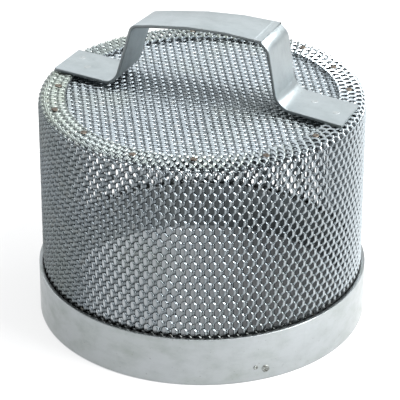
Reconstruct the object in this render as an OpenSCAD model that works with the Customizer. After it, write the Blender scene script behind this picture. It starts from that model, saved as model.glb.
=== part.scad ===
// Strainer cap for a foot valve: a cylinder of expanded metal with a folded rim, a mesh top,
// a sheet band outside and a sheet ring inside its open mouth, and a bent strap handle.
// Origin: centre of the open mouth, on the plane that the cap stands on.
// +Z points up through the mesh top and +X runs along the handle. Millimetres.

/* [Mouth] */
// Outside diameter of the outer band
band_d = 100; // [80:1:120]
// Height of the outer band and of the inner ring, which is the width of their strip
band_h = 15.4; // [10:0.2:24]
// Sheet thickness of the outer band
band_t = 1.2; // [0.8:0.1:1.6]
// Sheet thickness of the inner ring
ring_t = 0.9; // [0.6:0.1:1.2]

/* [Expanded metal] */
// Height of the folded rim above the mouth
body_h = 70.9; // [50:0.1:100]
// Overall thickness of the raised expanded metal, in the wall, the flange and the mesh top
mesh_t = 1.5; // [1:0.1:1.8]
// Gap between the plane of the mouth and the lower edge of the wall
wall_foot = 1; // [0.5:0.1:3]
// Outside radius of the fold at the rim
fold_r = 2.2; // [2:0.1:3]
// Width of the flange that is folded in over the mesh top
flange_w = 8.2; // [6:0.2:12]
// Clearance between the edge of the mesh top and the inside of the wall
top_gap = 0.3; // [0.2:0.1:1]

/* [Handle] */
// Width of the strap
strap_w = 15; // [10:0.5:20]
// Thickness of the strap
strap_t = 1; // [0.8:0.1:1.6]
// Height of the top of the handle's middle line above the flange
grip_h = 23.2; // [15:0.1:30]
// How far the feet stop short of the outside of the band
foot_inset = 3.2; // [2.5:0.1:6]

/* [Spot welds] */
// Diameter of a spot weld on the flange
flange_spot_d = 2.4; // [1.6:0.1:4]
// Diameter of a spot weld on a foot of the handle
foot_spot_d = 2.4; // [1.6:0.1:4]
// Diameter of the larger spot weld of each pair on the band
band_spot_d = 2.6; // [1.6:0.1:4]
// Number of pairs of spot welds round the band
band_pairs = 3; // [2:1:6]
// Diameter of a spot weld on the seam of the wall
seam_spot_d = 2.4; // [1.6:0.1:4]
// Number of spot welds up the seam of the wall
seam_spots = 6; // [3:1:9]
// How far a spot weld stands above its sheet
spot_h = 0.2; // [0.1:0.05:0.4]

/* [Hidden] */

$fn = 96;
band_r = band_d / 2;
wall_r = band_r - band_t;
wall_in_r = wall_r - mesh_t;
ring_in_r = wall_in_r - ring_t;
flange_in_r = wall_r - flange_w;
flange_z = body_h - mesh_t;
foot_end_r = band_r - foot_inset;

// Middle line of the strap as seen from the side: X, height above the flange and bend radius.
// The first and last points lie beyond the rim, where the feet are cut to its curve.
grip_top = grip_h + 0.8;
strap_line = [
    [-band_r, strap_t / 2, 0],
    [-25.6, strap_t / 2, 4.5],
    [-20.7, grip_h - 3.4, 2.4],
    [3, grip_top, 120],
    [21.9, grip_h - 1.4, 5],
    [24.9, strap_t / 2, 5],
    [band_r, strap_t / 2, 0]
];
// The hand-bent strap wanders a little sideways: X and the Y of its middle line.
strap_sway = [[-band_r, 2.5], [-27, 0.5], [-21, 2.4], [21.5, 3.4], [25.5, 5], [band_r, 1.6]];
// It is also slightly twisted: X and how far the rear edge hangs below the front edge.
strap_twist = [[-26, 0], [-21, 1.4], [0, 0.9], [21, 0], [band_r, 0]];

// Angles of the flange's spot welds, set out by eye round the rim.
flange_spot_angles = [27, 48, 70, 94, 118, 142, 198, 219, 242, 268, 291, 318, 343];
flange_spot_r = flange_in_r + 3.2;
// X and Y of the spot welds on the feet of the handle.
foot_spots = [[-42.2, 5.2], [-37.9, -0.2], [33.5, 5.8], [42, 1.4]];
// First pair of spot welds on the band: angle, share of the band's height and share of band_spot_d.
band_pair = [[-44, 0.23, 1], [-47.6, 0.29, 0.55]];
// Angle of the wall's seam, and how far its outermost spot welds stay from the band and from the fold.
seam_angle = 150;
seam_clear_low = 6;
seam_clear_high = 5;

steel = [0.74, 0.77, 0.78];
dull_steel = [0.60, 0.64, 0.66];
bright_steel = [0.80, 0.83, 0.84];
weld_brown = [0.47, 0.43, 0.34];

// Degrees at one stretch of an arc in the strap's side outline.
arc_step = 7;

function unit(v) = v / norm(v);
function xy(p) = [p[0], p[1]];
function angle_between(a, b) = acos(a * b / (norm(a) * norm(b)));
function turn(v, a) = [v[0] * cos(a) - v[1] * sin(a), v[0] * sin(a) + v[1] * cos(a)];
function left_of(v) = [-v[1], v[0]];

// Points of the arc that rounds corner b, met from a and left towards c.
function rounded(a, b, c, r) =
    let (
        u = unit(xy(b) - xy(a)),
        v = unit(xy(c) - xy(b)),
        bend = angle_between(u, v),
        side = sign(u[0] * v[1] - u[1] * v[0]),
        start = xy(b) - u * r * tan(bend / 2),
        centre = start + left_of(u) * r * side,
        steps = max(2, ceil(bend / arc_step))
    )
    [for (k = [0:steps]) centre + turn(start - centre, side * bend * k / steps)];

// The whole line with its corners rounded.
function rounded_line(pts) =
    let (last = len(pts) - 1)
    concat(
        [xy(pts[0])],
        [for (k = [1:last - 1]) each rounded(pts[k - 1], pts[k], pts[k + 1], pts[k][2])],
        [xy(pts[last])]
    );

// Direction of the line at point k.
function heading(line, k) =
    unit(line[min(k + 1, len(line) - 1)] - line[max(k - 1, 0)]);

// Four corners of the strap's section at point k: front low, front high, rear high, rear low.
function section(line, k) =
    let (
        p = line[k],
        across = left_of(heading(line, k)) * strap_t / 2,
        mid_y = lookup(p[0], strap_sway),
        drop = lookup(p[0], strap_twist)
    )
    [for (side = [[-1, -1], [-1, 1], [1, 1], [1, -1]])
        [p[0] + across[0] * side[1],
         mid_y + side[0] * strap_w / 2,
         body_h + p[1] + across[1] * side[1] - (side[0] > 0 ? drop : 0)]];

// A tube between two radii and two heights.
module tube(r_out, r_in, z_low, z_high) {
    translate([0, 0, z_low])
        difference() {
            cylinder(r = r_out, h = z_high - z_low);
            translate([0, 0, -1])
                cylinder(r = r_in, h = z_high - z_low + 2);
        }
}

// A round spot weld on a level face: a low disc whose edge is stepped down.
module flat_spot(d) {
    cylinder(d = d, h = spot_h / 2);
    cylinder(d = 0.6 * d, h = spot_h);
}

// A round spot weld on the outside of a cylinder of radius r, at a given angle and height.
module curved_spot(r, d, angle, z) {
    intersection() {
        rotate([0, 0, angle])
            translate([0, 0, z])
                rotate([0, 90, 0])
                    cylinder(d = d, h = r + spot_h + 1);
        tube(r + spot_h, r, z - d, z + d);
    }
}

module outer_band() {
    color(steel)
        tube(band_r, wall_r, 0, band_h);
}

module inner_ring() {
    color(dull_steel)
        tube(wall_in_r, ring_in_r, 0, band_h);
}

// The wall and its flange are one sheet: the top of the wall is folded in over the mesh top.
module mesh_wall() {
    color(dull_steel)
        rotate_extrude()
            difference() {
                union() {
                    translate([wall_in_r, wall_foot])
                        square([mesh_t, body_h - fold_r - wall_foot]);
                    translate([flange_in_r, flange_z])
                        square([flange_w - fold_r, mesh_t]);
                    translate([wall_r - fold_r, body_h - fold_r])
                        intersection() {
                            circle(r = fold_r);
                            square(fold_r);
                        }
                }
                translate([wall_r - fold_r, body_h - fold_r])
                    intersection() {
                        circle(r = fold_r - mesh_t);
                        square(fold_r);
                    }
            }
}

module mesh_top() {
    color(dull_steel)
        translate([0, 0, flange_z - mesh_t])
            cylinder(r = wall_in_r - top_gap, h = mesh_t);
}

module handle() {
    line = rounded_line(strap_line);
    count = len(line);
    sides = [for (k = [0:count - 2], s = [0:3])
        let (a = 4 * k + s, b = 4 * k + (s + 1) % 4)
        each [[a, b, b + 4], [a, b + 4, a + 4]]];
    first = [[2, 1, 0], [3, 2, 0]];
    last = [for (face = first) [for (p = [2:-1:0]) 4 * (count - 1) + face[p]]];
    color(bright_steel)
        intersection() {
            polyhedron(
                points = [for (k = [0:count - 1]) each section(line, k)],
                faces = concat(sides, first, last),
                convexity = 6
            );
            translate([0, 0, body_h - 1])
                cylinder(r = foot_end_r, h = grip_top + 3);
        }
}

// Spot welds that hold the flange down on the mesh top. The feet of the handle cover two more.
module flange_welds() {
    color(weld_brown)
        for (angle = flange_spot_angles)
            rotate([0, 0, angle])
                translate([flange_spot_r + 0.8 * sin(7 * angle), 0, body_h])
                    flat_spot(flange_spot_d);
}

// Two spot welds on each foot of the handle.
module handle_welds() {
    color(dull_steel)
        for (place = foot_spots)
            translate([place[0], place[1], body_h + strap_t])
                flat_spot(foot_spot_d);
}

// Pairs of spot welds through the band, the mesh and the inner ring.
module band_welds() {
    color(weld_brown)
        for (k = [0:band_pairs - 1], spot = band_pair)
            curved_spot(band_r, spot[2] * band_spot_d, spot[0] + k * 360 / band_pairs, spot[1] * band_h);
}

// Spot welds that close the wall's upright seam.
module seam_welds() {
    low = band_h + seam_clear_low;
    high = body_h - fold_r - seam_clear_high;
    color(weld_brown)
        for (k = [0:seam_spots - 1])
            curved_spot(wall_r, seam_spot_d, seam_angle, low + (high - low) * k / (seam_spots - 1));
}

outer_band();
inner_ring();
mesh_wall();
mesh_top();
handle();
flange_welds();
handle_welds();
band_welds();
seam_welds();
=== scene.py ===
"""Strainer cap of a foot valve: expanded metal wall, rim and top, sheet band and ring, strap handle."""

import math

import bmesh
import bpy
import numpy as np
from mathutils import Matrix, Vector


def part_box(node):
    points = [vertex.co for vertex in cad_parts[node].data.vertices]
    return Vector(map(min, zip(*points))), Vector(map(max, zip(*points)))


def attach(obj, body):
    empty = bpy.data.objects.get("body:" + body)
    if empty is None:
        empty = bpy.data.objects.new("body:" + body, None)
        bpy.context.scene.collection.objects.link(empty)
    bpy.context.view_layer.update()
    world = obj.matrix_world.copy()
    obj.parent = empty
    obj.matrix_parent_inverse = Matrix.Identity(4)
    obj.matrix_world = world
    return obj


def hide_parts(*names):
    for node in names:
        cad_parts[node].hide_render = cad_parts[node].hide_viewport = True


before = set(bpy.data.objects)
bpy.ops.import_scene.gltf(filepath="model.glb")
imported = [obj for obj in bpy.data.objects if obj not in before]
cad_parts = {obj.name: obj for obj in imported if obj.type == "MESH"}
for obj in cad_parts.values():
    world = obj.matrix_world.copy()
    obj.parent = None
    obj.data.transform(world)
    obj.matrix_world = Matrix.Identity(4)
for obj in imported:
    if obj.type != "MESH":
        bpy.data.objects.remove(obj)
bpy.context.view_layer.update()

MM = 0.001

# ---------------------------------------------------------------- sizes read from the CAD, in metres
BAND_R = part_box("outer_band")[1].x
BAND_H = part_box("outer_band")[1].z
RING_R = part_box("inner_ring")[1].x
WALL_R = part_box("mesh_wall")[1].x
WALL_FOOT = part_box("mesh_wall")[0].z
BODY_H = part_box("mesh_wall")[1].z
TOP_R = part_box("mesh_top")[1].x
TOP_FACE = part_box("mesh_top")[1].z
STRAP_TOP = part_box("handle")[1].z
SEAM_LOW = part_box("seam_welds")[0].z
SEAM_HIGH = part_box("seam_welds")[1].z

# ---------------------------------------------------------------- sizes that the boxes don't show
FLANGE_W = 8.2 * MM    # from the outside of the wall to the inner edge of the flange
FOLD_R = 2.2 * MM      # outer radius of the fold between wall and flange
RING_T = 0.9 * MM      # thickness of the inner ring
STRAP_T = 1.0 * MM     # thickness of the strap
STRAP_W = 15 * MM      # width of the strap
FOOT_INSET = 3.2 * MM  # from the outside of the band to the ends of the strap's feet
FLANGE_R = WALL_R - FLANGE_W


def linked(name, mesh):
    """The mesh as an object in the scene, named after the CAD node that it stands for."""
    piece = bpy.data.objects.new(name + "_looks", mesh)
    bpy.context.scene.collection.objects.link(piece)
    return piece


# ---------------------------------------------------------------- expanded metal
COLUMNS = 108                   # openings round the wall
LONG_WAY = 4.45 * MM            # length of one opening with its bond
TOP_LONG_WAY = 4.64 * MM        # the same in the mesh top, which is stretched less across its openings
TOP_PITCH = 1.31 * MM           # from strand to strand in the mesh top
TOP_TURN = math.radians(209.7)  # direction of the openings in the mesh top
BOND = 0.65 * MM                # half the length of the bond between two strands
STRAND_W = 0.83 * MM            # width of a strand
STRAND_T = 0.56 * MM            # thickness of the sheet it is cut from
TILT = math.radians(34)         # tilt of the strands in raised expanded metal
ROLLOVER = 0.14 * MM            # rounding that the shears leave on a strand's leading edge
DOME = 0.05 * MM                # how far the middle of a strand's face stands above its corners
END_FALL = 1.25                 # how much more a strand's face falls away at its ends than at its sides
RIPPLE = 0.06 * MM              # how far the sheets wander from true
TOP_WAVES = 0.5 * MM            # height at which the mesh top reads its ripple
FOLD_STEPS = 4                  # stretches in the fold
LEAST_STEP = 0.1 * MM           # a strand has no station closer than this to its ends
STRAND_CREASE = math.radians(25)
# Half of the sheet's depth over its raised strands.
HALF_DEPTH = STRAND_W * math.sin(TILT) + STRAND_T / 2 * math.cos(TILT)
# How bare the steel is on each kind of face of a strand.
BARE_FRONT, BARE_ROLLOVER, BARE_BACK, BARE_SHEARED = 0, 0.5, 0.7, 1
# The corners of a strand's front face, as places across and along it.
FRONT = [(-1, -END_FALL, 0), (1, -END_FALL, 0), (1, END_FALL, 0), (-1, END_FALL, 0)]


def zigzag(v, long_way):
    """Where a strand is between its left bond, -1, and its right bond, 1, at v along the long way."""
    phase = np.mod(v / long_way, 1.0)
    away = np.minimum(phase, 1 - phase) * long_way
    slope = (away - BOND) / (long_way / 2 - 2 * BOND)
    return 1 - 2 * np.clip(slope, 0, 1)


def stations(start, end, long_way, extra=()):
    """The places along the long way where a strand changes direction, with both ends."""
    first = math.floor(start / long_way * 2) - 1
    last = math.ceil(end / long_way * 2) + 1
    places = [j * long_way / 2 + step for j in range(first, last + 1) for step in (-BOND, BOND)]
    places += list(extra)
    inside = sorted(v for v in places if start + LEAST_STEP < v < end - LEAST_STEP)
    return np.array([start] + inside + [end])


def bond_of(v_mid, long_way):
    """1 in a bond of an even strand with the next, -1 in one of an odd strand with the next, or 0."""
    s = zigzag(v_mid, long_way)
    nearly = 0.999
    return np.where(s > nearly, 1, np.where(s < -nearly, -1, 0))


def join_bonds(index, bonds, keep, closed):
    """Makes each strand share its vertices with the one before it at their bonds.

    Changes index in place. Returns, for each strand and interval, whether its right side is joined.
    """
    strands = len(index)
    joined = np.zeros(keep.shape, bool)
    for k in range(strands if closed else strands - 1):
        following = (k + 1) % strands
        sign = 1 if k % 2 == 0 else -1
        inner = (bonds == sign) & keep[k] & keep[following]
        joined[k] = inner
        ends = np.append(inner, False) | np.append(False, inner)
        index[following, ends, 0] = index[k, ends, 2]
        index[following, ends, 1] = index[k, ends, 2]
        index[following, ends, 4] = index[k, ends, 3]
    return joined


def strand_mesh(name, points, bonds, keep, closed):
    """One sheet of expanded metal.

    points is [strand, station, corner, xyz], with the corners round a strand's section: the two ends of
    its rounded left edge, then right front, right back and left back. bonds gives each interval's bond,
    keep says which intervals of each strand exist, and closed joins the last strand to the first.
    Strands share their vertices at the bonds, so the sheet is one solid.
    """
    strands, places, corners = points.shape[:3]
    index = np.arange(strands * places * corners).reshape(strands, places, corners)
    joined = join_bonds(index, bonds, keep, closed)
    faces, cut, spread = [], [], []
    for k in range(strands):
        before = joined[k - 1] if closed or k > 0 else np.zeros(places - 1, bool)
        for i in np.nonzero(keep[k])[0]:
            a, b = index[k, i].tolist(), index[k, i + 1].tolist()
            faces.append((a[1], a[2], b[2], b[1]))
            cut.append(BARE_FRONT)
            spread += FRONT
            sides = [(0, 1, BARE_ROLLOVER), (3, 4, BARE_BACK)]
            if not joined[k, i]:
                sides.append((2, 3, BARE_SHEARED))
            if not before[i]:
                sides.append((4, 0, BARE_SHEARED))
            loops = [((a[p], a[q], b[q], b[p]), bare) for p, q, bare in sides]
            if i == 0 or not keep[k, i - 1]:
                loops.append((tuple(reversed(a)), BARE_SHEARED))
            if i == places - 2 or not keep[k, i + 1]:
                loops.append((tuple(b), BARE_SHEARED))
            for loop, bare in loops:
                face = tuple(dict.fromkeys(loop))
                if len(face) > 2:
                    faces.append(face)
                    cut.append(bare)
                    spread += [(0, 0, 0)] * len(face)
    used = np.unique([p for face in faces for p in face])
    compact = np.zeros(index.size, int)
    compact[used] = np.arange(len(used))
    mesh = bpy.data.meshes.new(name)
    mesh.from_pydata(points.reshape(-1, 3)[used], [], [[compact[p] for p in face] for face in faces])
    mesh.shade_smooth()
    mesh.set_sharp_from_angle(angle=STRAND_CREASE)
    store = mesh.attributes.new("cut", "FLOAT", "FACE")
    store.data.foreach_set("value", np.array(cut, np.float32))
    store = mesh.attributes.new("spread", "FLOAT_VECTOR", "CORNER")
    store.data.foreach_set("vector", np.array(spread, np.float32).reshape(-1))
    return linked(name, mesh)


def strand_section(tilt):
    """Corners of a strand's section as (across, outward) offsets from its middle, for each tilt."""
    across = np.stack([np.cos(tilt), -np.sin(tilt)], -1)
    outward = np.stack([np.sin(tilt), np.cos(tilt)], -1)
    w, t = STRAND_W / 2, STRAND_T / 2
    corners = ((-w, t - ROLLOVER), (ROLLOVER - w, t), (w, t), (w, -t), (-w, -t))
    return np.stack([across * p + outward * q for p, q in corners], -2)


def strand_corners(s, pitch, places):
    """Corners of the strands across and outward, for strands s between their bonds and pitch apart."""
    middle_u = s * (pitch - STRAND_W * math.cos(TILT)) / 2
    middle_n = s * STRAND_W / 2 * math.sin(TILT) - HALF_DEPTH
    corner = strand_section(np.full(places, TILT))
    u = middle_u[:, :, None] + corner[None, :, :, 0]
    n = middle_n[:, :, None] + corner[None, :, :, 1]
    return u, n


def ripple(x, y, z):
    """How far a sheet lies below true at a point, from 0 to RIPPLE: crossing waves about 3 mm long."""
    waves = (np.sin(2100 * x + 900 * z + 3 * np.sin(700 * y))
             + np.sin(1900 * y + 1500 * z + 2 * np.sin(900 * x))
             + np.sin(1300 * z - 1100 * x + 1200 * y))
    return RIPPLE * (3 + waves) / 6


def mesh_wall():
    """The wall and its flange: one sheet whose top is folded in over the mesh top."""
    straight = BODY_H - FOLD_R - WALL_FOOT
    arc = FOLD_R * math.pi / 2
    inward = WALL_R - FOLD_R - FLANGE_R
    bends = [straight + arc * k / FOLD_STEPS for k in range(FOLD_STEPS + 1)]
    v = stations(0, straight + arc + inward, LONG_WAY, bends)
    turn = np.clip((v - straight) / arc, 0, 1) * math.pi / 2
    past = np.maximum(v - straight - arc, 0)
    path_r = WALL_R - FOLD_R + FOLD_R * np.cos(turn) - past
    path_z = WALL_FOOT + np.minimum(v, straight) + FOLD_R * np.sin(turn)
    strands = 2 * COLUMNS
    k = np.arange(strands)
    s = zigzag(v, LONG_WAY)[None, :] * np.where(k % 2 == 0, 1, -1)[:, None]
    u, n = strand_corners(s, path_r * math.pi / COLUMNS, len(v))
    angle = (k * math.pi / COLUMNS)[:, None, None] + u / path_r[None, :, None]
    side = path_r[None, :, None] * np.stack([np.cos(angle), np.sin(angle)])
    n = n - ripple(side[0], side[1], path_z[None, :, None])
    r = path_r[None, :, None] + n * np.cos(turn)[None, :, None]
    z = path_z[None, :, None] + n * np.sin(turn)[None, :, None]
    points = np.stack([r * np.cos(angle), r * np.sin(angle), z + 0 * angle], -1)
    bonds = bond_of((v[1:] + v[:-1]) / 2, LONG_WAY)
    keep = np.ones((strands, len(v) - 1), bool)
    return strand_mesh("mesh_wall", points, bonds, keep, closed=True)


def mesh_top():
    """The flat disc of the same metal under the flange."""
    half = int(TOP_R / TOP_PITCH)
    rows = np.arange(-half, half + 1)
    v = stations(-TOP_R, TOP_R, TOP_LONG_WAY)
    s = zigzag(v, TOP_LONG_WAY)[None, :] * np.where((rows + half) % 2 == 0, 1, -1)[:, None]
    u, n = strand_corners(s, TOP_PITCH, len(v))
    u = u + rows[:, None, None] * TOP_PITCH
    along = np.broadcast_to(v[None, :, None], u.shape)
    x = along * math.cos(TOP_TURN) - u * math.sin(TOP_TURN)
    y = along * math.sin(TOP_TURN) + u * math.cos(TOP_TURN)
    points = np.stack([x, y, TOP_FACE + n - ripple(x, y, TOP_WAVES)], -1)
    inside = (np.hypot(points[..., 0], points[..., 1]) < TOP_R).all(-1)
    keep = inside[:, 1:] & inside[:, :-1]
    bonds = bond_of((v[1:] + v[:-1]) / 2, TOP_LONG_WAY)
    piece = strand_mesh("mesh_top", points, bonds, keep, closed=False)
    # The rows are laid out as a mirror image of the wall's strands, so the faces are turned outwards.
    piece.data.flip_normals()
    return piece


# ---------------------------------------------------------------- sheet metal
EDGE_R = 0.2 * MM      # rounding of the cut edges of the band and the ring
BAND_DENT = 0.15 * MM  # how far the band wanders inwards from round
RING_DENT = 0.05 * MM  # the same for the ring
RIM_DIP = 0.12 * MM    # how far the strips' upper edge dips below true
GROOVE = 0.3 * MM      # depth and half width of the groove where a strip's ends meet
SEAM_ANGLE = math.radians(150)
STRIP_STEPS = 288      # even steps round a strip
GROOVE_STEPS = (0.15, 0.35, 0.6, 0.9)   # finer steps to each side of the seam, in degrees
GROOVE_REACH = math.radians(1.1)        # the even steps leave this much free on each side of the seam
SHEET_CREASE = math.radians(40)
WELD_CREASE = math.radians(60)


def mesh_piece(name, points, faces, crease=SHEET_CREASE):
    """A solid from its points and faces, smooth except at edges sharper than the given angle."""
    mesh = bpy.data.meshes.new(name)
    mesh.from_pydata([tuple(p) for p in points], [], faces)
    work = bmesh.new()
    work.from_mesh(mesh)
    bmesh.ops.recalc_face_normals(work, faces=work.faces)
    work.to_mesh(mesh)
    work.free()
    mesh.shade_smooth()
    mesh.set_sharp_from_angle(angle=crease)
    return linked(name, mesh)


def rounded_box(width, height, radius, steps=3):
    """Outline of a rectangle about the origin with rounded corners, anticlockwise."""
    outline = []
    for x, y, start in ((1, 1, 0), (-1, 1, 90), (-1, -1, 180), (1, -1, 270)):
        for k in range(steps + 1):
            a = math.radians(start + 90 * k / steps)
            outline.append((x * (width / 2 - radius) + radius * math.cos(a),
                            y * (height / 2 - radius) + radius * math.sin(a)))
    return outline


def ring_faces(rings, count, closed):
    """Quads between rings of count points each. If closed, the last ring meets the first."""
    faces = []
    for i in range(rings if closed else rings - 1):
        j = (i + 1) % rings
        for k in range(count):
            m = (k + 1) % count
            faces.append((i * count + k, i * count + m, j * count + m, j * count + k))
    return faces


def strip_angles():
    """Angles round a rolled strip: even steps, and finer ones at its seam."""
    even = [2 * math.pi * k / STRIP_STEPS for k in range(STRIP_STEPS)]
    fine = [SEAM_ANGLE + side * math.radians(step) for step in GROOVE_STEPS for side in (-1, 1)]
    return sorted([a for a in even if abs(a - SEAM_ANGLE) > GROOVE_REACH] + fine)


def wander(a):
    """How far a rolled strip lies inwards from round at an angle, from 0 to 1."""
    wave = math.sin(3 * a + 0.6) + 0.6 * math.sin(7 * a + 2) + 0.3 * math.sin(13 * a)
    most = 1 + 0.6 + 0.3
    return (1 + wave / most) / 2


def rolled_strip(name, r_out, thick, dent):
    """A strip as high as the band, rolled to a ring and butted: a little out of round, edges rounded."""
    outline = rounded_box(thick, BAND_H, EDGE_R)
    angles = strip_angles()
    points = []
    for a in angles:
        inwards = dent * wander(a)
        dip = RIM_DIP * (1 + math.sin(5 * a + 1)) / 2
        groove = GROOVE * math.exp(-((a - SEAM_ANGLE) * r_out / GROOVE) ** 2)
        for x, y in outline:
            r = r_out - thick / 2 + x - inwards - groove * (x > 0)
            z = BAND_H / 2 + y - dip * (y > 0)
            points.append((r * math.cos(a), r * math.sin(a), z))
    return mesh_piece(name, points, ring_faces(len(angles), len(outline), True))


# ---------------------------------------------------------------- strap handle, worked out in millimetres
REACH = BAND_R / MM
FOOT_LEVEL = STRAP_T / 2 / MM
GRIP = (STRAP_TOP - BODY_H) / MM - FOOT_LEVEL
FOOT_END_R = (BAND_R - FOOT_INSET) / MM
STRAP_EDGE_R = 0.3
# Middle line seen from the side: X, height above the flange and bend radius.
STRAP_LINE = [(-REACH, FOOT_LEVEL, 0), (-25.6, FOOT_LEVEL, 4.5), (-20.7, GRIP - 3.4, 2.4),
              (3, GRIP + 0.8, 120), (21.9, GRIP - 1.4, 5), (24.9, FOOT_LEVEL, 5), (REACH, FOOT_LEVEL, 0)]
# The hand-bent strap wanders sideways: X and the Y of its middle line.
STRAP_SWAY = [(-REACH, 2.5), (-27, 0.5), (-21, 2.4), (21.5, 3.4), (25.5, 5), (REACH, 1.6)]
# It is slightly twisted too: X and how far its rear edge hangs below the front edge.
STRAP_TWIST = [(-26, 0), (-21, 1.4), (0, 0.9), (21, 0), (REACH, 0)]


def lookup(x, table):
    """The second column of a table at x in its first, on straight lines between the rows."""
    return np.interp(x, [row[0] for row in table], [row[1] for row in table])


def rounded_line(corners, degrees=6):
    """A line whose corners are rounded by arcs, as points. Each corner is (x, height, bend radius)."""
    line = [np.array(corners[0][:2], float)]
    for before, here, after in zip(corners, corners[1:], corners[2:]):
        a, b, c = (np.array(p[:2], float) for p in (before, here, after))
        u = (b - a) / np.linalg.norm(b - a)
        v = (c - b) / np.linalg.norm(c - b)
        bend = math.acos(np.clip(u @ v, -1, 1))
        side = np.sign(u[0] * v[1] - u[1] * v[0])
        start = b - u * here[2] * math.tan(bend / 2)
        centre = start + np.array([-u[1], u[0]]) * here[2] * side
        arm = start - centre
        steps = max(3, math.ceil(math.degrees(bend) / degrees))
        for k in range(steps + 1):
            t = side * bend * k / steps
            line.append(centre + np.array([arm[0] * math.cos(t) - arm[1] * math.sin(t),
                                           arm[0] * math.sin(t) + arm[1] * math.cos(t)]))
    line.append(np.array(corners[-1][:2], float))
    return np.array(line)


def strap_handle():
    """The strap: its section carried along its side line, with feet cut to the curve of the rim."""
    line = rounded_line(STRAP_LINE)
    outline = rounded_box(STRAP_W / MM, STRAP_T / MM, STRAP_EDGE_R)
    length = np.concatenate([[0], np.cumsum(np.linalg.norm(np.diff(line, axis=0), axis=1))])
    last = len(line) - 1
    points, along = [], []
    for k, p in enumerate(line):
        ahead = line[min(k + 1, last)] - line[max(k - 1, 0)]
        ahead /= np.linalg.norm(ahead)
        normal = np.array([-ahead[1], ahead[0]])
        for y, t in outline:
            across = lookup(p[0], STRAP_SWAY) + y
            drop = lookup(p[0], STRAP_TWIST) * (0.5 + y / (STRAP_W / MM))
            x = p[0] + normal[0] * t
            if k in (0, last):
                x = math.copysign(math.sqrt(FOOT_END_R ** 2 - across ** 2), p[0])
            points.append((x * MM, across * MM, BODY_H + (p[1] + normal[1] * t - drop) * MM))
            along.append((length[k] * MM, y * MM, t * MM))
    count = len(outline)
    faces = ring_faces(len(line), count, False)
    faces.append(tuple(range(count)))
    faces.append(tuple(reversed(range(len(points) - count, len(points)))))
    piece = mesh_piece("handle", points, faces)
    store = piece.data.attributes.new("grain", "FLOAT_VECTOR", "POINT")
    store.data.foreach_set("vector", np.array(along, np.float32).reshape(-1))
    return piece


# ---------------------------------------------------------------- spot welds
FLANGE_SPOTS = [27, 48, 70, 94, 118, 142, 198, 219, 242, 268, 291, 318, 343]   # degrees round the rim
FLANGE_SPOT_R = FLANGE_R + 3.2 * MM    # the circle they lie on
FLANGE_SPOT_D = 2.2 * MM
SCATTER = 0.8 * MM                     # how far they lie in or out of it
SINK = 0.12 * MM                       # how deep they are sunk in the flange
FOOT_SPOTS = [(-42.2, 5.2), (-37.9, -0.2), (33.5, 5.8), (42.0, 1.4)]           # X and Y in millimetres
FOOT_SPOT_D = 2.2 * MM
FOOT_SPOT_H = 0.08 * MM
BAND_SPOTS = [(-44, 0.23, 2.6), (-47.6, 0.29, 1.4)]   # degrees, share of the band's height, diameter in mm
BAND_PAIRS = 3
SEAM_SPOTS = 6
SEAM_SPOT_D = 2.4 * MM
SPOT_H = 0.2 * MM      # height of a spot weld above its face
HEAT_REACH = 2.6 * MM  # how far the heat tint round a spot weld spreads
# Section of a spot weld from its outer edge inwards: shares of its radius and of its height.
SPOT_PROFILE = [(1.0, 0.0), (0.96, 0.45), (0.84, 0.9), (0.7, 1.0), (0.52, 0.75), (0.3, 0.45)]
SPOT_MIDDLE = 0.4      # height of the middle of its dimple, as such a share
SPOT_TURNS = 20        # points round it
SPOT_UNEVEN = 0.1      # how far its outline is from round
SPOT_SLANT = 0.25      # how far its rim is from level


def nugget(diameter, wobble, tall):
    """Points and faces of a spot weld on a level face: a low rim round a dimple, made uneven by wobble."""
    points = []
    for share, height in SPOT_PROFILE:
        for k in range(SPOT_TURNS):
            a = 2 * math.pi * k / SPOT_TURNS
            wave = math.sin(2 * a + wobble) + 0.6 * math.sin(5 * a + 3 * wobble)
            out = 1 - SPOT_UNEVEN * (1 + wave) / 2
            lift = 1 - SPOT_SLANT * (1 + math.sin(3 * a + 2 * wobble)) / 2
            r = share * out * diameter / 2
            points.append((r * math.cos(a), r * math.sin(a), height * lift * tall))
    faces = ring_faces(len(SPOT_PROFILE), SPOT_TURNS, False)
    points.append((0, 0, SPOT_MIDDLE * tall))
    last = (len(SPOT_PROFILE) - 1) * SPOT_TURNS
    faces += [(last + k, last + (k + 1) % SPOT_TURNS, len(points) - 1) for k in range(SPOT_TURNS)]
    faces.append(tuple(reversed(range(SPOT_TURNS))))
    return points, faces


def nugget_group(name, places, tall=SPOT_H):
    """Several spot welds as one piece. Each place is (a function from flat points to space, diameter)."""
    points, faces = [], []
    for n, (lay, diameter) in enumerate(places):
        flat, own = nugget(diameter, 1.7 * n + 0.4, tall)
        faces += [tuple(i + len(points) for i in face) for face in own]
        points += [lay(p) for p in flat]
    return mesh_piece(name, points, faces, WELD_CREASE)


def on_level(x, y, z):
    """Lays flat points on a level face about the given point."""
    return lambda p: (x + p[0], y + p[1], z + p[2])


def on_cylinder(r, angle, z):
    """Lays flat points on an upright cylinder about the given angle and height."""
    def lay(p):
        a = angle + p[0] / r
        return ((r + p[2]) * math.cos(a), (r + p[2]) * math.sin(a), z + p[1])
    return lay


def flange_spots():
    """X and Y of the middles of the spot welds on the flange."""
    angles = [math.radians(degrees) for degrees in FLANGE_SPOTS]
    radii = [FLANGE_SPOT_R + SCATTER * math.sin(7 * a) for a in angles]
    return [(r * math.cos(a), r * math.sin(a)) for r, a in zip(radii, angles)]


def flange_welds():
    return nugget_group("flange_welds", [(on_level(x, y, BODY_H - SINK), FLANGE_SPOT_D)
                                         for x, y in flange_spots()])


def handle_welds():
    level = BODY_H + STRAP_T
    places = [(on_level(x * MM, y * MM, level), FOOT_SPOT_D) for x, y in FOOT_SPOTS]
    return nugget_group("handle_welds", places, FOOT_SPOT_H)


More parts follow.
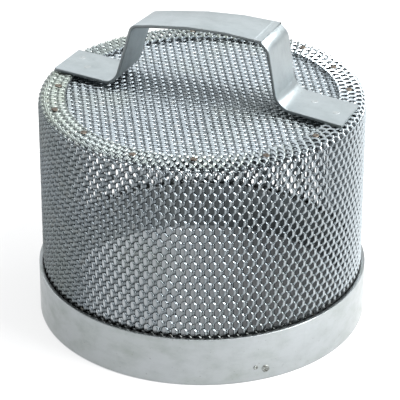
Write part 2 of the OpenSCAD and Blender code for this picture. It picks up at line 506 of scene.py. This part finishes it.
def band_welds():
    places = []
    for pair in range(BAND_PAIRS):
        for degrees, share, diameter in BAND_SPOTS:
            angle = math.radians(degrees + 360 * pair / BAND_PAIRS)
            places.append((on_cylinder(BAND_R, angle, share * BAND_H), diameter * MM))
    return nugget_group("band_welds", places)


def seam_welds():
    low = SEAM_LOW + SEAM_SPOT_D / 2
    step = (SEAM_HIGH - SEAM_LOW - SEAM_SPOT_D) / (SEAM_SPOTS - 1)
    return nugget_group("seam_welds", [(on_cylinder(WALL_R, SEAM_ANGLE, low + step * k), SEAM_SPOT_D)
                                       for k in range(SEAM_SPOTS)])


def mark_heat(piece):
    """Stores how close each point of a mesh is to a spot weld on the flange, for the heat tint."""
    co = np.empty(len(piece.data.vertices) * 3, np.float32)
    piece.data.vertices.foreach_get("co", co)
    co = co.reshape(-1, 3)
    heat = np.zeros(len(co))
    for x, y in flange_spots():
        away = np.linalg.norm(co - (x, y, BODY_H), axis=1)
        heat = np.maximum(heat, np.exp(-(away / HEAT_REACH) ** 2))
    store = piece.data.attributes.new("heat", "FLOAT", "POINT")
    store.data.foreach_set("value", heat.astype(np.float32))


# ---------------------------------------------------------------- colours
def rgb(r, g, b):
    return (r, g, b, 1.0)


# Base tone, stain and shine of each sheet's steel.
BAND_TONES = (rgb(0.355, 0.378, 0.385), rgb(0.28, 0.31, 0.295), rgb(0.385, 0.405, 0.43))
RING_TONES = (rgb(0.30, 0.32, 0.33), rgb(0.25, 0.27, 0.26), rgb(0.33, 0.35, 0.36))
STRAP_TONES = (rgb(0.305, 0.338, 0.348), rgb(0.255, 0.285, 0.29), rgb(0.335, 0.367, 0.386))
SHEET_DIRT = rgb(0.16, 0.16, 0.13)
# Painted shade along the sheets' cut edges.
EDGE_SHADE = rgb(0.07, 0.075, 0.075)
STRAND_DARK = rgb(0.12, 0.137, 0.148)
STRAND_PALE = rgb(0.20, 0.223, 0.238)
STRAND_STAIN = rgb(0.14, 0.155, 0.13)
STRAND_BARE = rgb(0.48, 0.525, 0.55)
# Painted shade for the strands' down-facing faces.
UNDERSIDE_SHADE = rgb(0.04, 0.045, 0.05)
FLANGE_TINT = rgb(0.215, 0.24, 0.195)
# Painted shade in the gap where the mesh enters the band.
JOINT_SHADE = rgb(0.012, 0.012, 0.01)
STRAW = rgb(0.30, 0.31, 0.24)
BURNT = rgb(0.10, 0.08, 0.05)
# Pale and dark tone of each kind of spot weld.
WELD_BROWN = (rgb(0.16, 0.14, 0.115), rgb(0.035, 0.022, 0.016))
WELD_GREY = (rgb(0.35, 0.375, 0.38), rgb(0.28, 0.30, 0.30))
WELD_DARK = (rgb(0.34, 0.36, 0.35), rgb(0.07, 0.07, 0.06))
DAYLIGHT = rgb(0.88, 0.95, 1)
FLOOR_GREY = rgb(0.15, 0.15, 0.15)
FLOOR_SHADE = rgb(0.03, 0.03, 0.03)


# ---------------------------------------------------------------- where tones begin and end
EDGE_SHADE_SPAN = (0.25 * MM, 0.08 * MM)  # distances from a cut edge between which its painted shade line sets in
FOLD_TINT = (BODY_H - 1.4 * MM, BODY_H - 0.7 * MM)   # heights between which the flange's tint sets in
JOINT_SHADE_FOOT = (BAND_H - 1.5 * MM, BAND_H - 0.5 * MM)  # heights between which the painted shade where the mesh enters the band sets in
JOINT_SHADE_HEAD = (BAND_H + 0.6 * MM, BAND_H + 1.3 * MM)  # and those between which it ends
GRAIN_DEPTH = 0.1 * MM              # depth of the bump on sheets
PIT_DEPTH = 0.08 * MM               # depth of the bump on spot welds


# ---------------------------------------------------------------- materials
class Shader:
    """A material whose nodes are added by name and linked by passing sockets or values as inputs."""

    def __init__(self, name):
        self.material = bpy.data.materials.new(name)
        self.material.use_nodes = True
        self.tree = self.material.node_tree
        self.surface = self.tree.nodes["Principled BSDF"]
        self.surface.inputs["Metallic"].default_value = 1

    def set(self, node, inputs):
        for key, value in inputs.items():
            socket = node.inputs[key]
            if isinstance(value, bpy.types.NodeSocket):
                self.tree.links.new(value, socket)
            else:
                socket.default_value = value

    def add(self, kind, inputs, output=0, **settings):
        node = self.tree.nodes.new(kind)
        for key, value in settings.items():
            setattr(node, key, value)
        self.set(node, inputs)
        return node.outputs[output]

    def math(self, operation, a, b=0.0):
        return self.add("ShaderNodeMath", {0: a, 1: b}, operation=operation)

    def noise(self, vector, scale, detail=3.0, roughness=0.55):
        return self.add("ShaderNodeTexNoise", {"Vector": vector, "Scale": scale, "Detail": detail,
                                               "Roughness": roughness})

    def stretched_noise(self, vector, scale, detail, roughness=0.55):
        stretched = self.add("ShaderNodeMapping", {"Vector": vector, "Scale": scale})
        return self.noise(stretched, 1.0, detail, roughness)

    def span(self, value, low, high, to_low=0.0, to_high=1.0):
        return self.add("ShaderNodeMapRange", {"Value": value, "From Min": low, "From Max": high,
                                               "To Min": to_low, "To Max": to_high})

    def mix(self, share, a, b):
        return self.add("ShaderNodeMix", {0: share, 6: a, 7: b}, output=2, data_type="RGBA")

    def blend(self, share, a, b):
        return self.add("ShaderNodeMix", {0: share, 2: a, 3: b}, data_type="FLOAT")

    def place(self):
        """Object coordinates, which are metres in the shared frame."""
        return self.add("ShaderNodeTexCoord", {}, output=3)

    def vector_of(self, attribute):
        return self.add("ShaderNodeAttribute", {}, output=1, attribute_name=attribute)

    def value_of(self, attribute):
        return self.add("ShaderNodeAttribute", {}, output=2, attribute_name=attribute)

    def part(self, vector, axis):
        return self.add("ShaderNodeSeparateXYZ", {0: vector}, output=axis)

    def dot(self, a, b):
        return self.add("ShaderNodeVectorMath", {0: a, 1: b}, output=1, operation="DOT_PRODUCT")

    def bump(self, height, distance, strength=1.0):
        return self.add("ShaderNodeBump", {"Height": height, "Distance": distance, "Strength": strength})


def round_grain(shader):
    """Coordinates that run with a strip round its ring: length round it and height."""
    place = shader.place()
    angle = shader.math("ARCTAN2", shader.part(place, 1), shader.part(place, 0))
    length = shader.math("MULTIPLY", angle, BAND_R)
    return shader.add("ShaderNodeCombineXYZ", {0: length, 1: shader.part(place, 2), 2: 0.0})


def strap_grain(shader):
    """Coordinates that run with the strap: length along it, place across it and depth."""
    return shader.vector_of("grain")


def sheet_steel(name, tones, grain, middle, half, rough=0.3):
    """Rolled stainless sheet: fine drawn grain, cloudy stains, specks, a painted shade line along its cut
    edges and uneven gloss.

    grain gives the coordinates that run with the sheet, whose width is half to each side of middle.
    """
    tint, stain, shine = tones
    shader = Shader(name)
    vector = grain(shader)
    fine = shader.stretched_noise(vector, (120, 5200, 1), 4.0, 0.6)
    cloud = shader.stretched_noise(vector, (130, 200, 130), 4.0, 0.6)
    patch = shader.stretched_noise(vector, (35, 50, 35), 2.0)
    speck = shader.stretched_noise(vector, (900, 1100, 900), 2.0)
    colour = shader.mix(shader.span(cloud, 0.42, 0.7, 0, 0.8), tint, stain)
    colour = shader.mix(shader.span(patch, 0.45, 0.75, 0, 0.5), colour, shine)
    colour = shader.mix(shader.span(speck, 0.66, 0.76, 0, 0.45), colour, SHEET_DIRT)
    # Painted shade: the sheet is darkened in a thin line along its cut edges.
    from_middle = shader.math("ABSOLUTE", shader.math("SUBTRACT", shader.part(vector, 1), middle))
    edge_shade = shader.span(from_middle, half - EDGE_SHADE_SPAN[0], half - EDGE_SHADE_SPAN[1], 0, 0.55)
    colour = shader.mix(edge_shade, colour, EDGE_SHADE)
    gloss = shader.math("ADD", shader.span(cloud, 0.3, 0.7, rough, rough + 0.12),
                        shader.span(fine, 0.3, 0.7, -0.03, 0.05))
    height = shader.math("ADD", shader.math("MULTIPLY", fine, 0.6), shader.math("MULTIPLY", cloud, 3.0))
    shader.set(shader.surface, {"Base Color": colour, "Roughness": gloss,
                                "Normal": shader.bump(height, GRAIN_DEPTH, 0.5)})
    return shader.material


def strand_steel():
    """Sheared stainless strands: uneven tone and gloss, bare cuts, heat at the welds, painted shade
    underneath and at the band.
    """
    shader = Shader("strand_steel")
    place = shader.place()
    level = shader.part(place, 2)
    uneven = shader.noise(place, 420, 2.0)
    broad = shader.noise(place, 40, 3.0)
    scale = shader.noise(place, 2600, 2.0)
    cut = shader.value_of("cut")
    heat = shader.value_of("heat")

    # The steel itself, stained here and there and tinted where it is folded over the top.
    colour = shader.mix(shader.span(uneven, 0.3, 0.7), STRAND_DARK, STRAND_PALE)
    colour = shader.mix(shader.span(broad, 0.45, 0.75, 0, 0.4), colour, STRAND_STAIN)
    folded = shader.span(level, *FOLD_TINT, 0.0, 0.45)
    tinted = shader.math("MULTIPLY", folded, shader.span(broad, 0.3, 0.6, 0.3, 1.0))
    colour = shader.mix(tinted, colour, FLANGE_TINT)

    # Its cuts are bare; painted shade darkens its down-facing faces.
    colour = shader.mix(cut, colour, STRAND_BARE)
    upright = shader.part(shader.add("ShaderNodeNewGeometry", {}, output=1), 2)
    colour = shader.mix(shader.span(upright, -0.05, -0.3, 0, 0.65), colour, UNDERSIDE_SHADE)

    # Painted shade darkens the mesh where it enters the band, and the welds have left straw and burnt
    # tones.
    joint_shade = shader.math("MULTIPLY", shader.span(level, *JOINT_SHADE_FOOT),
                        shader.span(level, *JOINT_SHADE_HEAD, 0.85, 0))
    colour = shader.mix(joint_shade, colour, JOINT_SHADE)
    burnt = shader.span(shader.math("ADD", heat, shader.span(uneven, 0.3, 0.7, -0.25, 0.25)), 0.1, 0.75)
    colour = shader.mix(shader.span(heat, 0.1, 0.6, 0, 0.8), colour, STRAW)
    colour = shader.mix(burnt, colour, BURNT)

    gloss = shader.span(uneven, 0.3, 0.7, 0.20, 0.32)
    for share, dulling in ((heat, 0.25), (cut, 0.12), (tinted, 0.2)):
        gloss = shader.math("ADD", gloss, shader.math("MULTIPLY", share, dulling))
    spread = shader.vector_of("spread")
    fall = shader.math("POWER", shader.dot(spread, spread), 2.0)
    height = shader.math("SUBTRACT", shader.math("MULTIPLY", scale, 0.15), fall)
    shader.set(shader.surface, {"Base Color": colour, "Roughness": gloss,
                                "Normal": shader.bump(height, DOME)})
    return shader.material


def weld_metal(name, tones):
    """Fused metal of a spot weld: dull, pitted and tinted by heat."""
    pale, dark = tones
    shader = Shader(name)
    place = shader.place()
    blotch = shader.noise(place, 1300, 4.0, 0.7)
    pits = shader.noise(place, 3000, 3.0, 0.7)
    colour = shader.mix(shader.span(blotch, 0.38, 0.62), pale, dark)
    shader.set(shader.surface, {"Base Color": colour, "Roughness": shader.span(pits, 0.3, 0.7, 0.35, 0.6),
                                "Normal": shader.bump(pits, PIT_DEPTH, 0.8)})
    return shader.material


# ---------------------------------------------------------------- assembly
def stand_in(piece, material):
    """The piece stands for the CAD node of its own name."""
    piece.data.materials.append(material)
    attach(piece, "root")
    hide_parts(piece.name.removesuffix("_looks"))


def build():
    strands = strand_steel()
    band = sheet_steel("band_steel", BAND_TONES, round_grain, BAND_H / 2, BAND_H / 2)
    ring = sheet_steel("ring_steel", RING_TONES, round_grain, BAND_H / 2, BAND_H / 2, 0.38)
    strap = sheet_steel("strap_steel", STRAP_TONES, strap_grain, 0, STRAP_W / 2)
    brown = weld_metal("weld_brown", WELD_BROWN)
    grey = weld_metal("weld_grey", WELD_GREY)
    dark = weld_metal("weld_dark", WELD_DARK)
    for sheet in (mesh_wall(), mesh_top()):
        mark_heat(sheet)
        stand_in(sheet, strands)
    stand_in(rolled_strip("outer_band", BAND_R, BAND_R - WALL_R, BAND_DENT), band)
    stand_in(rolled_strip("inner_ring", RING_R, RING_T, RING_DENT), ring)
    stand_in(strap_handle(), strap)
    stand_in(flange_welds(), brown)
    stand_in(handle_welds(), grey)
    stand_in(band_welds(), dark)
    stand_in(seam_welds(), grey)


build()


# ---------------------------------------------------------------- camera
VIEW_AZIMUTH = math.radians(24.2)
VIEW_ELEVATION = math.radians(28.33)
VIEW_DISTANCE = 14.57 * BAND_R
AIM_HEIGHT = 0.690 * BAND_R
AIM_SIDE = -0.0132 * BAND_R
LENS = 216
VIEW_RIGHT = Vector((math.cos(VIEW_AZIMUTH), math.sin(VIEW_AZIMUTH), 0))


def towards(azimuth, elevation):
    """Unit vector from the object towards a place in the studio. Azimuth 0 is in front, -Y."""
    level = math.cos(elevation)
    return Vector((math.sin(azimuth) * level, -math.cos(azimuth) * level, math.sin(elevation)))


def aim(thing, target, azimuth, elevation, distance):
    """Puts a camera or lamp at a distance from its target and turns it to look there."""
    bpy.context.scene.collection.objects.link(thing)
    away = towards(azimuth, elevation)
    thing.location = target + away * distance
    thing.rotation_euler = (-away).to_track_quat("-Z", "Y").to_euler()


def view_camera():
    data = bpy.data.cameras.new("view")
    data.lens = LENS
    camera = bpy.data.objects.new("view", data)
    target = Vector((0, 0, AIM_HEIGHT)) + VIEW_RIGHT * AIM_SIDE
    aim(camera, target, VIEW_AZIMUTH, VIEW_ELEVATION, VIEW_DISTANCE)
    bpy.context.scene.camera = camera


# ---------------------------------------------------------------- floor and lights
FLOOR_SIZE = 6
FLOOR_DROP = 0.2 * MM
OPEN_GLOW = 0.88           # glow of the open floor
NEAR_GLOW = (0.65, 1.45)   # glow close to the object, from its left to its right
INNER_GLOW = (0.55, 0.06)  # glow under the cap, from left to right
NEAR_REACH = (1.5 * BAND_R, 2.5 * BAND_R)    # the close glow fades into the open one between these
INNER_REACH = (-0.7 * BAND_R, 0.3 * BAND_R)  # the glow under the cap falls off between these
# Soft boxes: name, azimuth from the camera's and elevation in degrees, distance, width, height, radiance.
LAMPS = (
    ("overhead", 20, 80, 1.0, 1.1, 1.1, 4.2),
    ("right", 65, 33, 0.8, 0.46, 0.28, 38),
    ("side", 106, 38, 0.9, 0.7, 0.5, 5.6),
    ("left", -118, 30, 1.2, 1.2, 0.8, 1.8),
    ("behind", 175, 32, 1.2, 2.2, 1.1, 1.3),
)
AMBIENT = 0.5


def floor():
    """A plain pale floor that glows softly, brighter to the right of the object and dim under it."""
    bpy.ops.mesh.primitive_plane_add(size=FLOOR_SIZE, location=(0, 0, -FLOOR_DROP))
    plane = bpy.context.object
    plane.name = "floor"
    shader = Shader("floor")
    place = shader.place()
    side = shader.dot(place, tuple(VIEW_RIGHT))
    away = shader.add("ShaderNodeVectorMath", {0: place}, output=1, operation="LENGTH")
    across = shader.math("POWER", shader.span(side, -NEAR_REACH[0], NEAR_REACH[0]), 2.0)
    near = shader.span(across, 0.0, 1.0, *NEAR_GLOW)
    outer = shader.blend(shader.span(away, *NEAR_REACH), near, OPEN_GLOW)
    outside = shader.span(away, BAND_R - RING_T, BAND_R)
    glow = shader.blend(outside, shader.span(side, *INNER_REACH, *INNER_GLOW), outer)
    colour = shader.mix(outside, FLOOR_SHADE, FLOOR_GREY)
    tint = shader.mix(outside, DAYLIGHT, rgb(1, 1, 1))
    shader.set(shader.surface, {"Base Color": colour, "Roughness": 0.9, "Metallic": 0.0,
                                "Emission Color": tint, "Emission Strength": glow})
    plane.data.materials.append(shader.material)


def soft_box(name, azimuth, elevation, distance, width, height, radiance):
    """A lamp that looks at the middle of the object."""
    data = bpy.data.lights.new(name, "AREA")
    data.shape = "RECTANGLE"
    data.size = width
    data.size_y = height
    data.energy = radiance * math.pi * width * height
    lamp = bpy.data.objects.new(name, data)
    middle = Vector((0, 0, BODY_H / 2))
    aim(lamp, middle, VIEW_AZIMUTH + math.radians(azimuth), math.radians(elevation), distance)


def studio():
    world = bpy.data.worlds.new("studio")
    world.use_nodes = True
    background = world.node_tree.nodes["Background"]
    background.inputs["Color"].default_value = DAYLIGHT
    background.inputs["Strength"].default_value = AMBIENT
    bpy.context.scene.world = world
    for lamp in LAMPS:
        soft_box(*lamp)
    bpy.context.scene.view_settings.view_transform = "Standard"


view_camera()
floor()
studio()
